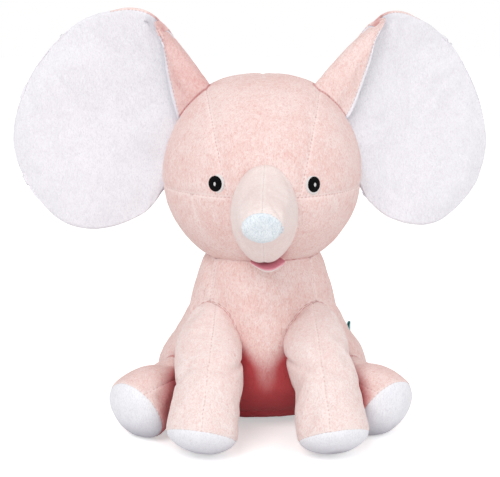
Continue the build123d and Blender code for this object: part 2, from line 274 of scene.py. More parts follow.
# ---- cloth simulation
def simulate(covers, frames=16):
    """Air pressure puffs every cover out between its pinned seams, like stuffing in sewn cloth."""
    scene = bpy.context.scene
    for cover in covers:
        mesh = cover["object"].data
        seams, border = seam_edges(mesh)
        pins = {v for key in seams for v in key} | border
        pins |= {i for i, p in enumerate(coordinates(mesh)) if cover["hidden"](p)}
        group = cover["object"].vertex_groups.new(name="pins")
        group.add(list(pins), 1.0, "REPLACE")
        cloth = cover["object"].modifiers.new("cloth", "CLOTH")
        s = cloth.settings
        s.quality = 4
        s.mass = 0.2
        s.tension_stiffness = s.compression_stiffness = 12
        s.shear_stiffness = 6
        s.bending_stiffness = 0.3
        s.use_pressure = True
        s.uniform_pressure_force = cover.get("pressure", 4.0)
        s.shrink_min = -cover["slack"]
        s.vertex_group_mass = "pins"
        s.effector_weights.gravity = 0
        cloth.collision_settings.use_collision = False
        cloth.collision_settings.use_self_collision = False
        cloth.point_cache.frame_start = 1
        cloth.point_cache.frame_end = frames
    for f in range(1, frames + 1):
        scene.frame_set(f)
    graph = bpy.context.evaluated_depsgraph_get()
    for cover in covers:
        obj = cover["object"]
        rest = coordinates(obj.data)
        moved = coordinates(obj.evaluated_get(graph).data) - rest
        size = np.linalg.norm(moved, axis=1, keepdims=True)
        moved *= np.minimum(1, cover["cap"] / np.maximum(size, 1e-6))
        cover["moved"] = rest + moved
    scene.frame_set(1)
    for cover in covers:
        cover["object"].modifiers.clear()
        set_coordinates(cover["object"].data, cover["moved"])


# ---- from a puffed cover to its panels
POLE_LINKS = 20  # a vertex with more edges than this closes the end of a tube
JOIN_REACH, JOIN_TURN = 12, 28  # how far a join looks for its other cover; mm along it for each radian


def relax_poles(obj, reach=9.0):
    """Evens out the cloth round the points where many faces meet."""
    with editing(obj) as bm:
        for pole in [v.co.copy() for v in bm.verts if len(v.link_edges) > POLE_LINKS]:
            near = [v for v in bm.verts if (v.co - pole).length < reach * MM]
            for _ in range(12):
                bmesh.ops.smooth_vert(
                    bm, verts=near, factor=0.5, use_axis_x=True, use_axis_y=True, use_axis_z=True
                )


def apply_modifiers(obj):
    graph = bpy.context.evaluated_depsgraph_get()
    mesh = bpy.data.meshes.new_from_object(obj.evaluated_get(graph))
    obj.modifiers.clear()
    obj.data = mesh


def refine(obj):
    """One Catmull-Clark subdivision; the panel numbers are carried along."""
    relax_poles(obj)
    obj.modifiers.new("fine", "SUBSURF").levels = 1
    apply_modifiers(obj)


def seam_samples(mesh, co):
    """Points along every seam, each with its distance along that seam."""
    seams, _ = seam_edges(mesh)
    links = {}
    for a, b in seams:
        links.setdefault(a, []).append(b)
        links.setdefault(b, []).append(a)
    along = {}
    for start in sorted(links, key=lambda v: (len(links[v]) == 2, v)):
        if start in along:
            continue
        along[start] = 0.0
        queue = [start]
        while queue:
            a = queue.pop(0)
            for b in links[a]:
                if b not in along:
                    along[b] = along[a] + float(np.linalg.norm(co[a] - co[b]))
                    queue.append(b)
    samples = []
    for a, b in seams:
        for t in (0.0, 0.25, 0.5, 0.75):
            samples.append((co[a] * (1 - t) + co[b] * t, along[a] * (1 - t) + along[b] * t))
    return samples


def line_samples(points, pitch=0.5):
    """Evenly spaced points on a curve, each with its distance along it."""
    return [(p, pitch * i) for i, p in enumerate(even_rows(points, pitch))]


def nearest(samples, points):
    """Distance to the nearest sample, and that sample's own distance along its line."""
    if not samples:
        return np.full(len(points), FAR), np.zeros(len(points))
    tree = kdtree.KDTree(len(samples))
    for i, (p, _) in enumerate(samples):
        tree.insert(p, i)
    tree.balance()
    found = [tree.find(p) for p in points]
    return np.array([f[2] for f in found]), np.array([samples[f[1]][1] for f in found])


def seam_lines(mesh, darts):
    """Signed distance to the nearest seam, dart or join, and the distance along it, for every vertex."""
    co = coordinates(mesh)
    distance, along = nearest(seam_samples(mesh, co), co)
    base = read_attribute(mesh, "base_co", 3) / MM
    for dart in darts:
        d, s = nearest(line_samples(dart), base)
        closer = d < distance
        distance, along = np.where(closer, d, distance), np.where(closer, s, along)
    join, join_along = read_attribute(mesh, "join_d"), read_attribute(mesh, "join_s")
    closer = np.abs(join) < distance
    return np.where(closer, join, distance), np.where(closer, join_along, along), co


def mark_joins(covers):
    """Where a cover is sewn to another, it gets a seam along the line where they meet."""
    trees = {c["object"].name: tree_of(c["object"]) for c in covers}
    middles = {c["object"].name: coordinates(c["object"].data).mean(0) for c in covers}
    for cover in covers:
        obj = cover["object"]
        co = coordinates(obj.data)
        best, along, line = np.full(len(co), FAR), np.zeros(len(co)), np.full(len(co), FAR)
        for other, fineness in cover.get("joined", {}).items():
            axis = middles[other] - middles[obj.name]
            axis = axis / np.linalg.norm(axis)
            across = np.cross(axis, (0.0, 0.0, 1.0) if abs(axis[2]) < 0.9 else (1.0, 0.0, 0.0))
            across /= np.linalg.norm(across)
            up = np.cross(axis, across)
            for i, p in enumerate(co):
                place, normal, _, gap = trees[other].find_nearest(Vector(p) * MM, JOIN_REACH * MM)
                if place is None or gap / MM > abs(best[i]):
                    continue
                sign = 1 if (Vector(p) * MM - place).dot(normal) >= 0 else -1
                best[i] = sign * gap / MM
                # The materials paint shade along the join from this, narrower for a larger fineness.
                line[i] = fineness * best[i]
                away = p - middles[other]
                along[i] = JOIN_TURN * math.atan2(away @ up, away @ across)
        for name, values in (("join_d", best), ("join_s", along), ("join_line", line)):
            write_attribute(obj.data, name, values)


def neighbour_sums(ends, known, values):
    """For every vertex, the sum over its known neighbours of their values, and their number."""
    total, count = np.zeros(len(values)), np.zeros(len(values))
    for a, b in (ends.T, ends.T[::-1]):
        np.add.at(total, a, np.where(known[b], values[b], 0.0))
        np.add.at(count, a, known[b])
    return total, count


def spread(mesh, values, rounds=12, evening=10):
    """Gives every vertex marked -1 its known neighbours' mean, working outwards, then evens them all out."""
    ends = np.array([e.vertices[:] for e in mesh.edges])
    for _ in range(rounds):
        known = values >= 0
        total, count = neighbour_sums(ends, known, values)
        fill = ~known & (count > 0)
        values[fill] = total[fill] / count[fill]
    values = np.clip(values, 0.0, 1.0)
    for _ in range(evening):
        total, count = neighbour_sums(ends, np.full(len(values), True), values)
        values = 0.4 * values + 0.6 * total / np.maximum(count, 1)
    return values


def sky_rays(count=12):
    """Directions spread over the half sphere round z, more of them near its top."""
    rays = []
    for k in range(count):
        z = math.sqrt(1 - (k + 0.5) / count)
        r = math.sqrt(1 - z * z)
        rays.append((r * math.cos(k * GOLDEN_TURN), r * math.sin(k * GOLDEN_TURN), z))
    return rays


def mark_hollows(covers, reach=75.0):
    """How closed in each spot is, from 0 to 1; the materials paint shade by it, as little light reaches
    closed-in spots.
    """
    parts = [([v.co.copy() for v in c["object"].data.vertices], faces_of(c["object"])) for c in covers]
    tree = BVHTree.FromPolygons(*joined_meshes(parts))
    rays = sky_rays()
    for cover in covers:
        mesh = cover["object"].data
        hollow = np.zeros(len(mesh.vertices))
        for i, v in enumerate(mesh.vertices):
            n = v.normal
            x = n.orthogonal().normalized()
            y = n.cross(x)
            start = v.co + n * CLOTH * MM
            total, buried = 0.0, 0
            for a, b, c in rays:
                d = x * a + y * b + n * c
                place, normal, _, hit = tree.ray_cast(start, d, reach * MM)
                if place is not None and normal.dot(d) > 0:
                    buried += 1
                floor = -start.z / d.z if d.z < -1e-3 else None
                if floor is not None and floor < reach * MM and (hit is None or floor < hit):
                    hit = floor
                if hit is not None:
                    total += 1 - hit / (reach * MM)
            hollow[i] = total / len(rays) if buried < len(rays) / 3 else -1.0
        # Painted shade: each cover scales it by its shadow strength and raises it to its least painted shade.
        shadow = cover.get("shadow", 1.0)
        strength = shadow(coordinates(mesh)) if callable(shadow) else shadow
        write_attribute(mesh, "hollow", np.maximum(spread(mesh, hollow) * strength, cover.get("least_painted_shade", 0.0)))


def lumps(points, scale, seed):
    offset = Vector((seed * 7.3, seed * 3.1, seed * 5.7))
    return np.array([noise.noise(Vector(p) / scale + offset) for p in points])


def sewn_relief(cover, co, distance, along):
    """How far the cloth stands off its puffed form: seam valleys, puckers, soft lumps and its own detail."""
    seed = cover["seed"]
    valley = -0.6 * bell(distance, 5.5) - 0.4 * bell(distance, 1.5)
    wander = 1.2 * lumps(co, 14, seed + 5)
    pucker = np.sin(2 * np.pi * along / PUCKER_PITCH + 3 * wander) * bell(distance, 4.0)
    pucker *= 0.25 * (1 - bell(distance, 1.2)) * (0.7 + 0.6 * wander) * cover.get("gather", 1.0)
    soft = 0.9 * lumps(co, 38, seed) + 0.35 * lumps(co, 13, seed + 2)
    extra = cover["detail"](co, distance) if "detail" in cover else 0
    return valley * cover.get("groove", 1.0) + pucker + soft + extra


def finish_cover(cover):
    """Grooves, puckers and lumps; then one closed panel object per panel number, and the filling."""
    obj = cover["object"]
    refine(obj)
    mesh = obj.data
    signed, along, co = seam_lines(mesh, cover.get("darts", []))
    hollow, join = read_attribute(mesh, "hollow"), read_attribute(mesh, "join_line")
    normals = np.zeros(len(co) * 3)
    mesh.vertex_normals.foreach_get("vector", normals)
    normals = normals.reshape(-1, 3)
    co = co + normals * sewn_relief(cover, co, np.abs(signed), along)[:, None]
    low, depth = co[:, 2] < REST_Z, REST_Z - PRESSED_Z
    co[low, 2] = PRESSED_Z + depth * np.exp((co[low, 2] - REST_Z) / depth)
    set_coordinates(mesh, co)
    labels, corners = panel_numbers(mesh), faces_of(obj)
    made = []
    for number, (name, nodes, material, slot) in cover["panels"].items():
        faces = [corners[i] for i in np.flatnonzero(labels == number)]
        used = sorted({v for f in faces for v in f})
        back = {v: i for i, v in enumerate(used)}
        faces = [tuple(back[v] for v in f) for f in faces]
        piece = panel_object(name, co[used], faces, cover.get("cloth", CLOTH))
        add_attributes(piece, signed[used], along[used], hollow[used], join[used])
        dress(piece, material, nodes)
        made.append(piece)
    inner = cover.get("fill_mesh", (co - normals * FILL_DEPTH, corners))
    if "fill" in cover:
        made.append(make_fill(*cover["fill"], *inner))
    cover["move"](made)
    bpy.data.objects.remove(obj)


def panel_object(name, points, faces, thickness):
    obj = raw_object(name, points, faces)
    obj.data.shade_smooth()
    solid = obj.modifiers.new("cloth_thickness", "SOLIDIFY")
    solid.thickness = thickness * MM
    solid.offset = -1
    crisp = obj.modifiers.new("crisp_rim", "EDGE_SPLIT")
    crisp.split_angle = math.radians(55)
    return obj


def add_attributes(obj, distance=FAR, along=0.0, hollow=0.0, join=FAR):
    """What the materials read at every vertex; a single number stands for all of them."""
    mesh = obj.data
    every = np.ones(len(mesh.vertices))
    for name, values in (("seam_d", distance), ("seam_s", along), ("hollow", hollow), ("join_line", join)):
        write_attribute(mesh, name, every * values)
    write_attribute(mesh, "rest_co", [v.co for v in mesh.vertices], "FLOAT_VECTOR")


def dress(obj, material, nodes):
    """Gives a piece its material and hides the nodes of the frame that it stands for."""
    obj.data.materials.append(material)
    if nodes:
        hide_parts(*nodes)


def make_fill(name, nodes, inner, corners):
    """The stuffing: a closed form inside the cover, made coarser."""
    obj = raw_object(name, inner, corners)
    with editing(obj) as bm:
        bmesh.ops.holes_fill(bm, edges=[e for e in bm.edges if e.is_boundary], sides=0)
        bmesh.ops.triangulate(bm, faces=bm.faces)
    obj.modifiers.new("coarser", "DECIMATE").ratio = FILL_DETAIL
    apply_modifiers(obj)
    obj.data.shade_smooth()
    dress(obj, FIBRE, nodes)
    return obj


def riding(body):
    return lambda made: [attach(o, body) for o in made]


def bending():
    """Every made piece has its transform baked into its mesh, where it stays."""
    return lambda made: [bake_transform(o) for o in made]


# ---- materials
class Nodes:
    """A short way to write node trees."""

    def __init__(self, name):
        self.material = bpy.data.materials.new(name)
        self.material.use_nodes = True
        self.tree = self.material.node_tree
        self.tree.nodes.clear()
        self.out = self.add("ShaderNodeOutputMaterial")
        self.bsdf = self.add("ShaderNodeBsdfPrincipled")
        self.link(self.bsdf.outputs[0], self.out.inputs[0])

    def add(self, kind, **values):
        node = self.tree.nodes.new(kind)
        for key, value in values.items():
            setattr(node, key, value)
        return node

    def link(self, a, b):
        self.tree.links.new(a, b)

    def put(self, socket, value):
        """Links a socket, or sets it; a colour is given as its red, green and blue."""
        if isinstance(value, bpy.types.NodeSocket):
            self.link(value, socket)
        elif socket.type == "RGBA":
            socket.default_value = (*value, 1.0)
        else:
            socket.default_value = value

    def fill(self, node, values):
        """Sets or links several inputs of a node."""
        for name, value in values.items():
            self.put(node.inputs[name], value)
        return node

    def attribute(self, name, output="Fac"):
        return self.add("ShaderNodeAttribute", attribute_name=name).outputs[output]

    def own_place(self):
        return self.add("ShaderNodeTexCoord").outputs["Object"]

    def math(self, operation, a, b=0.0):
        return self.fill(self.add("ShaderNodeMath", operation=operation), {0: a, 1: b}).outputs[0]

    def times(self, a, b):
        return self.math("MULTIPLY", a, b)

    def bell(self, x, width):
        square = self.math("POWER", self.math("DIVIDE", x, width), 2.0)
        return self.math("EXPONENT", self.times(square, -1.0))

    def stretch(self, vector, scale):
        node = self.add("ShaderNodeVectorMath", operation="MULTIPLY")
        return self.fill(node, {0: vector, 1: scale}).outputs[0]

    def noise(self, vector, size_mm, detail=3.0, rough=0.5, distortion=0.0):
        values = {
            "Vector": vector, "Scale": 1 / size_mm / MM, "Detail": detail, "Roughness": rough,
            "Distortion": distortion,
        }
        return self.fill(self.add("ShaderNodeTexNoise"), values).outputs["Fac"]

    def ramp(self, fac, low, high):
        node = self.add("ShaderNodeMapRange", interpolation_type="SMOOTHSTEP")
        return self.fill(node, {"Value": fac, "From Min": low, "From Max": high}).outputs["Result"]

    def mix(self, fac, a, b):
        return self.fill(self.add("ShaderNodeMix", data_type="RGBA"), {0: fac, 6: a, 7: b}).outputs[2]

    def bump(self, height, distance_mm, strength, normal=None):
        values = {"Strength": strength, "Distance": distance_mm * MM, "Height": height}
        if normal is not None:
            values["Normal"] = normal
        return self.fill(self.add("ShaderNodeBump"), values).outputs[0]

    def surface(self, colour, rough, normal, more=()):
        """Finishes the material."""
        self.fill(self.bsdf, {"Base Color": colour, "Roughness": rough, "Normal": normal, **dict(more)})
        return self.material


def darker(colour, share):
    return tuple(share * c for c in colour)


def plush(name, base, pale, deep, thread, shade, crush=1.0, fur=1.0):
    """Short-pile velour: crushed patches, brushed streaks, fibre grain, sheen and stitched seams; painted
    shade in the seam grooves, in hollows and along joins.
    """
    n = Nodes(name)
    place = n.attribute("rest_co", "Vector")
    blotch = n.noise(place, 30, 4.0, 0.6, 0.5)
    patch = n.noise(place, 9, 4.0, 0.65, 1.0)
    streak = n.noise(n.stretch(place, (1.0, 1.0, 0.45)), 1.9, 4.0, 0.75, 1.0)
    fibre = n.noise(n.stretch(place, (1.0, 1.0, 0.4)), 0.7, 3.0, 0.65, 0.5)
    colour = base
    for pattern, start, full, share, tint in (
        (blotch, 0.36, 0.64, 0.6, pale),
        (patch, 0.52, 0.74, 0.35 * crush, pale),
        (patch, 0.46, 0.28, 0.16 * crush, deep),
        (streak, 0.51, 0.64, 0.8, pale),
        (streak, 0.48, 0.34, 0.55 * crush, deep),
        (fibre, 0.52, 0.34, 0.5 * fur, deep),
    ):
        colour = n.mix(n.times(n.ramp(pattern, start, full), share), colour, tint)
    distance = n.math("ABSOLUTE", n.attribute("seam_d"))
    groove = n.bell(distance, 0.5)
    dash = n.ramp(n.math("SINE", n.times(n.attribute("seam_s"), 2 * math.pi / STITCH_PITCH)), -0.5, 0.5)
    ridge = n.times(n.bell(distance, 1.7), n.ramp(streak, 0.20, 0.55))
    colour = n.mix(n.times(ridge, 0.75), colour, thread)
    # Painted shade in the seam's groove, darkest at the stitch dashes.
    colour = n.mix(n.times(groove, n.math("ADD", n.times(dash, 0.6), 0.15)), colour, deep)
    # Painted shade: towards the shade colour by how closed in a spot is, and along the joins to other covers.
    colour = n.mix(n.times(n.ramp(n.attribute("hollow"), 0.13, 0.46), 0.95), colour, shade)
    join_shade = n.bell(n.attribute("join_line"), 1.0)
    colour = n.mix(n.times(join_shade, 0.42), colour, shade)
    height = n.math("ADD", n.times(fibre, 0.30 * fur), n.times(streak, 0.9))
    normal = n.bump(height, 1.1, 0.6)
    normal = n.bump(patch, 2.5, 0.35 * crush, normal)
    stitch = n.times(groove, n.math("SUBTRACT", -0.25, n.times(dash, 0.65)))
    normal = n.bump(stitch, 0.6, 0.7, normal)
    sheen = {"Specular IOR Level": 0.12, "Sheen Weight": 0.16, "Sheen Roughness": 0.4, "Sheen Tint": pale}
    return n.surface(colour, 0.9, normal, sheen)


def thread_material(name, colour, rows_mm=0.45, gloss=0.45):
    """Parallel embroidery threads with a soft shine."""
    n = Nodes(name)
    place = n.attribute("rest_co", "Vector")
    wobble = n.noise(place, 1.3, 2.0)
    x = n.fill(n.add("ShaderNodeSeparateXYZ"), {0: place}).outputs[0]
    row = n.math("SINE", n.math("ADD", n.times(x, 2 * math.pi / (rows_mm * MM)), n.times(wobble, 2.5)))
    shown = n.mix(n.ramp(row, -1.0, 0.6), darker(colour, 0.45), colour)
    return n.surface(shown, gloss, n.bump(row, 0.12, 0.6), {"Specular IOR Level": 0.06})


def simple_material(name, colour, rough, grain_mm, depth_mm):
    """A plain material with a mottled tone and a fine grain, for the hidden pieces and the small trims."""
    n = Nodes(name)
    grain = n.noise(n.own_place(), grain_mm, 4.0, 0.6, 0.3)
    shown = n.mix(n.ramp(grain, 0.3, 0.7), darker(colour, 0.78), colour)
    return n.surface(shown, rough, n.bump(grain, depth_mm, 0.6))


# Each plush: its base, pale, deep and seam thread colours, its painted shade colour, then how crushed and how
# furry it is.
LAP_SHADE = (0.46, 0.04, 0.05)
PINK = plush(
    "pink_plush", (0.83, 0.61, 0.575), (0.89, 0.76, 0.73), (0.71, 0.37, 0.345), (0.93, 0.80, 0.77), LAP_SHADE
)
# Painted light: a paler copy of the pink plush, for the light on the front legs.
LEG = plush(
    "leg_plush_painted_light", (0.86, 0.70, 0.67), (0.91, 0.82, 0.80), (0.75, 0.46, 0.43), (0.94, 0.83, 0.80), LAP_SHADE
)
# Painted light: a paler, greyer copy of the pink plush for the trunk and the lower lip, for the light the
# trunk catches.
PALE = plush(
    "trunk_plush_painted_light", (0.85, 0.72, 0.695), (0.90, 0.81, 0.785), (0.77, 0.57, 0.54), (0.92, 0.84, 0.81),
    (0.50, 0.25, 0.23), 0.6,
)
WHITE = plush(
    "white_plush", (0.80, 0.78, 0.82), (0.86, 0.84, 0.88), (0.64, 0.61, 0.67), (0.84, 0.82, 0.87),
    (0.44, 0.42, 0.49), 0.7, 0.9,
)
# Painted light: a brighter copy of the white plush, for the light on the soles.
SOLE = plush(
    "sole_plush_painted_light", (0.86, 0.86, 0.90), (0.92, 0.92, 0.95), (0.70, 0.69, 0.75), (0.90, 0.90, 0.93),
    (0.60, 0.58, 0.64), 0.8, 1.2,
)
TIP = plush(
    "tip_plush", (0.76, 0.81, 0.85), (0.88, 0.92, 0.95), (0.52, 0.60, 0.67), (0.84, 0.88, 0.92),
    (0.55, 0.60, 0.66), 1.2, 1.4,
)
LINING = plush(
    "mouth_cloth", (0.85, 0.42, 0.49), (0.90, 0.52, 0.59), (0.72, 0.26, 0.32), (0.88, 0.56, 0.6),
    (0.66, 0.22, 0.28), 0.5,
)
BLACK = thread_material("black_thread", (0.003, 0.003, 0.004))
GLINT = thread_material("white_thread", (0.85, 0.85, 0.86))
HALO = thread_material("eye_edge_thread", (0.97, 0.92, 0.91), 0.6, 0.8)
FIBRE = simple_material("polyester_fibre", (0.86, 0.86, 0.85), 0.95, 2.2, 1.5)
POUCH = simple_material("pouch_cloth", (0.78, 0.75, 0.68), 0.9, 0.6, 0.3)
PELLET = simple_material("pellet_plastic", (0.80, 0.80, 0.76), 0.45, 1.5, 0.05)
TAPE = simple_material("label_tape", (0.16, 0.45, 0.47), 0.6, 0.5, 0.15)
THREAD = simple_material("sewing_thread", (0.80, 0.45, 0.43), 0.7, 0.4, 0.2)


# ---- covers; each is a dict that the steps above read
# object: the form that is puffed; hidden: picks the points that stay still, inside a cover or at the floor;
# slack, pressure, cap: how loose the cloth is, the air in it, and how far a point may move;
# panels: (piece, nodes, material, slot) by number; fill: (piece, nodes); fill_mesh: the filling's own form;
# joined: the covers it is sewn to, each with how narrow the painted shade along that join is; darts: seams in
# one panel;
# groove, gather, detail: depth of the seams, strength of the puckers, and relief of its own;
# shadow, dusk: strength of the painted shade in its hollows, and the least painted shade; move: how it
# follows the bodies.
def cloths(material, slot, *stems, first=0):
    """Panel entries, numbered from first, for cloths that share a stem with their node in the frame."""
    return {first + i: (f"{stem}_cloth", [f"{stem}_panel"], material, slot) for i, stem in enumerate(stems)}


def pink_cloths(*stems, first=0):
    return cloths(PINK, "pink_plush", *stems, first=first)


def in_head(p):
    return np.linalg.norm(p - HEAD) < HEAD_R + 1


# ---- head
HEAD_PULLS = [  # direction, pull outwards, and how wide it spreads in radians
    ((-0.54, 0, 0.84), 3.4, 0.36), ((0.54, 0, 0.84), 3.4, 0.36), ((0, -0.1, 1), -1.4, 0.3),
    ((-1, 0, -0.1), 1.8, 0.6),
]


def before_ears(p):
    return p[1] < EAR_SEAM_Y


def head_panel(p):
    side = 0 if p[0] > 0 else 1
    if p[1] > EAR_SEAM_Y:
        return 5 + side
    if p[2] < CHEEK_Z:
        return 3 + side
    return 0 if abs(p[0]) < GUSSET_HALF + GUSSET_FLARE * (p[2] - CHEEK_Z) else 1 + side


def on_head(x, z):
    return (x, HEAD[1] - math.sqrt(HEAD_R**2 - x**2 - (z - HEAD[2]) ** 2), z)


def pull_head(obj):
    """The ears draw the corners of the head outwards and the crown a little down."""
    co = coordinates(obj.data)
    out = (co - HEAD) / np.linalg.norm(co - HEAD, axis=1, keepdims=True)
    for way, amount, width in HEAD_PULLS:
        angle = np.arccos(np.clip(out @ (np.array(way) / np.linalg.norm(way)), -1, 1))
        co = co + out * (amount * bell(angle, width))[:, None]
    set_coordinates(obj.data, co)


def head_cover():
    darts = [
        [on_head(-59, 206.5), on_head(-57, 196), on_head(-53.5, 185.5)],
        [on_head(58.5, 206.5), on_head(60, 198), on_head(59.5, 189)],
        [(0, y, HEAD[2] + math.sqrt(HEAD_R**2 - y**2)) for y in (4, -6, -17)],
    ]
    mesh = bpy.data.meshes.new("head_cover")
    obj = link("head_cover", mesh)
    with editing(obj) as bm:
        bmesh.ops.create_icosphere(
            bm, subdivisions=6, radius=HEAD_R * MM, matrix=Matrix.Translation(Vector(HEAD) * MM)
        )
    seam_cuts(obj, [
        ((0, EAR_SEAM_Y, 0), (0, 1, 0), everywhere),
        ((0, 0, CHEEK_Z), (0, 0, 1), before_ears),
        *side_cuts(GUSSET_HALF, CHEEK_Z, -GUSSET_FLARE, lambda p: before_ears(p) and p[2] > CHEEK_Z),
        ((0, 0, 0), (1, 0, 0), lambda p: p[1] > EAR_SEAM_Y or p[2] < CHEEK_Z),
        ((0, 0, NECK_Z), (0, 0, 1), everywhere),
    ])
    keep_faces(obj, lambda p: p[2] > NECK_Z)
    label_faces(obj, head_panel)
    pull_head(obj)
    return {
        "object": obj, "fill": ("head_stuffing", ["head_fill"]), "seed": 3, "move": riding("head"),
        "panels": pink_cloths(
            "forehead", "face_left", "face_right", "cheek_left", "cheek_right", "head_back_left",
            "head_back_right",
        ),
        "hidden": lambda p: p[2] < NECK_Z + 2, "slack": 0.008, "cap": 2.5, "darts": darts,
        "shadow": 0.7, "groove": 0.6, "joined": {f"ear_{side}_flap_cover": 1.0 for side in SIDES},
    }


# ---- torso
TORSO = [  # height, half width, half depth, and how far back the middle lies
    (2, 44, 38, 12), (7, 62, 52, 11), (15, 77.5, 64.5, 10), (36, 93, 76, 8), (55, 89.5, 73.5, 5),
    (73, 79, 67, 2), (100, 65, 59.5, 0), (128, 56.5, 56.5, 0), (NECK_Z, 50.0, 54.0, 0),
    (NECK_Z + 5, 47.0, 51.0, 0),
]
CHEST_HALF, CHEST_FLARE, SEAT_Z, SIDE_Y = 41.0, 0.13, 16.0, 11.0


def torso_panel(p):
    if p[2] < SEAT_Z:
        return 0
    if p[1] > SIDE_Y:
        return 4 if p[0] > 0 else 5
    if abs(p[0]) < CHEST_HALF + CHEST_FLARE * (NECK_Z - p[2]):
        return 1
    return 2 if p[0] > 0 else 3


def torso_shadow(co):
    """Strength of the painted shade on the torso: it deepens on the belly towards the lap; the back, open to
    the light, gets less.
    """
    front = np.interp(co[:, 2], [20, 60, 88, 125, 140], [1.5, 1.3, 0.4, 0.15, 0.4])
    return front * np.interp(co[:, 1], [-30, 30], [1.0, 0.35])


def torso_ring(half_x, half_y, centre, z, columns=150):
    turn = circle(columns)
    return np.stack([half_x * np.cos(turn), centre + half_y * np.sin(turn), np.full(columns, z)], 1)


def torso_cover():
    _, seat_x, seat_y, seat_centre = TORSO[0]
    rings = []
    for share in np.linspace(0.06, 0.94, 12):
        rings.append(torso_ring(seat_x * share, seat_y * share, seat_centre, PRESSED_Z + 1.6 * share**8))
    for z, half_x, half_y, centre in even_rows(TORSO, GRAIN, [0, 1]):
        rings.append(torso_ring(half_x, half_y, centre, z))
    obj = make_object("torso_cover", *ring_mesh(rings, close_end=False))
    seam_cuts(obj, [
        ((0, 0, SEAT_Z), (0, 0, 1), everywhere),
        ((0, SIDE_Y, 0), (0, 1, 0), lambda p: p[2] > SEAT_Z),
        *side_cuts(CHEST_HALF, NECK_Z, CHEST_FLARE, lambda p: p[2] > SEAT_Z and p[1] < SIDE_Y),
        ((0, 0, 0), (1, 0, 0), lambda p: p[2] > SEAT_Z and p[1] > SIDE_Y),
    ])
    label_faces(obj, torso_panel)
    joined = {f"front_leg_{side}_cover": 9.0 for side in SIDES}
    joined |= {f"hind_leg_{side}_cover": 4.0 for side in SIDES}
    return {
        "object": obj, "fill": ("body_stuffing", ["body_fill"]), "seed": 8,
        "panels": pink_cloths(
            "seat", "belly", "flank_left", "flank_right", "body_back_left", "body_back_right"
        ),
        "hidden": lambda p: p[2] < 3.0, "slack": 0.012, "cap": 3.0, "shadow": torso_shadow,
        "joined": joined | {"tail_outer_cover": 1.5, "head_cover": 1.0},
        "move": bending(),
    }


# ---- limbs
def tube(name, path, columns, dome, side=(1, 0, 0)):
    """A round cover along a path of (x, y, z, radius) rows; dome is the radius of its rounded far end."""
    rows = even_rows(path, GRAIN, [0, 1, 2])
    centres, radii = rows[:, :3], rows[:, 3]
    along = np.gradient(centres, axis=0)
    along /= np.linalg.norm(along, axis=1, keepdims=True)
    turn = circle(columns)
    rings = []

    def add_ring(centre, axis, radius):
        x = np.array(side, float) - np.dot(side, axis) * axis
        x /= np.linalg.norm(x)
        y = np.cross(axis, x)
        rings.append(centre + radius * (np.outer(np.cos(turn), x) + np.outer(np.sin(turn), y)))

    for angle in np.linspace(80, 8, max(4, int(radii[0] * 1.5 / GRAIN))):
        c, s = cos_sin(angle)
        add_ring(centres[0] - along[0] * (radii[0] * s), along[0], radii[0] * c)
    for centre, axis, radius in zip(centres, along, radii):
        add_ring(centre, axis, radius)
    end_ring = len(rings) - 1
    depth = math.sqrt(dome**2 - radii[-1] ** 2)
    limit = math.asin(radii[-1] / dome)
    for angle in np.linspace(limit, 0.03, max(4, int(radii[-1] / GRAIN)))[1:]:
        forward = dome * math.cos(angle) - depth
        add_ring(centres[-1] + along[-1] * forward, along[-1], dome * math.sin(angle))
    obj = make_object(name, *ring_mesh(rings))
    per_ring = [1 if i // columns < end_ring else 0 for i in range((len(rings) - 1) * columns)]
    label_faces(obj, per_ring + [1] * columns + [0] * columns)
    return obj, centres


def split_tube(obj, origin, normal):
    """Parts the tube's long panel in two along a plane; numbers 1 and 2 are its two sides."""
    with editing(obj) as bm:
        layer = bm.faces.layers.int["panel"]
        cut(bm, [f for f in bm.faces if f[layer] == 1], origin, normal)
        o, d = Vector(origin) * MM, Vector(normal)
        for f in bm.faces:
            if f[layer] == 1 and (f.calc_center_median() - o).dot(d) < 0:
                f[layer] = 2


def leg_cover(name, tube_shape, split_normal, material, start, end, **more):
    """A leg with its outer and inner panels and its sole; start and end are not used."""
    obj, centres = tube(f"{name}_cover", **tube_shape, columns=54)
    split_tube(obj, centres[len(centres) // 2], split_normal)
    panels = {0: (f"{name}_sole_cloth", [f"{name}_sole_pad"], SOLE, "white_plush")}
    panels |= cloths(material, "pink_plush", f"{name}_outer", f"{name}_inner", first=1)
    return {
        "object": obj, "panels": panels, "fill": (f"{name}_stuffing", [f"{name}_fill"]), "slack": 0.02,
        "cap": 3.0, "joined": {"torso_cover": 2.5}, "move": bending(), **more,
    }


def front_leg_cover(side):
    s = SIDES[side]
    foot_x = {"left": 56.5, "right": 50.5}[side]
    path = [
        (s * 36, -22, 96, 18), (s * 42, -42, 86, 24.5), (s * 46, -66, 73, 27.5),
        (s * (foot_x - 6), -92, 55, 27.5), (s * (foot_x - 3), -107, 37, 28), (s * foot_x, -117.8, 19.0, 29.5),
    ]

    def crease(co, distance):
        """A fold across the inner side of the knee, with a bulge over it."""
        inner = np.clip((45 - s * co[:, 0]) / 12, 0, 1)
        height = co[:, 2] - 0.2 * s * co[:, 0]
        return inner * (2.0 * bell(height - 78, 8) - 2.4 * bell(height - 66, 2.3))

    return leg_cover(
        f"front_leg_{side}", {"path": path, "dome": 40}, (s * 1.0, 0.0, 0.12), LEG, (s * 40, -36, 98),
        (s * 46, -66, 78), seed=11 + s, shadow=0.55, detail=crease, hidden=lambda p: p[1] > -40 or p[2] < 1.0,
    )


